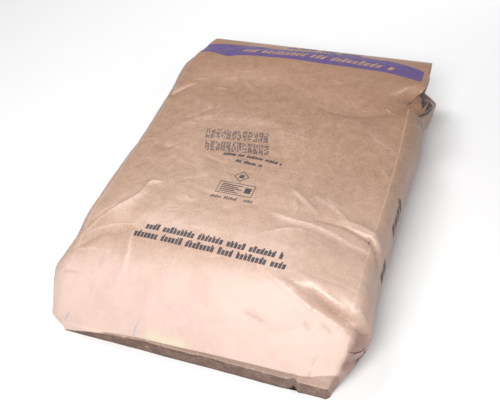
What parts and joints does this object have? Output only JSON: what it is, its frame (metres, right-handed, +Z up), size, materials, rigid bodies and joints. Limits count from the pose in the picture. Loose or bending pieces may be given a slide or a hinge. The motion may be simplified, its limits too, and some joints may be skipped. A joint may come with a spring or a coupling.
{
  "type": "bag of flour",
  "caption": "Filled and sealed kraft paper flour sack with folded gussets, lying flat, its bottom end squashed low and its pinched top end raised.",
  "frame": {"origin": "on the floor, under the middle of the bounding box", "axes": "+X across the sack, +Y along it towards the raised, pinched top end, +Z up out of the back panel; the printed front panel is underneath"},
  "size_m": [0.4802, 0.648, 0.14],
  "materials": {
    "kraft_paper": "calendered brown kraft, slightly sheeny"
  },
  "bodies": {
    "root": {"flour_sack": "kraft_paper"}
  },
  "joints": []
}
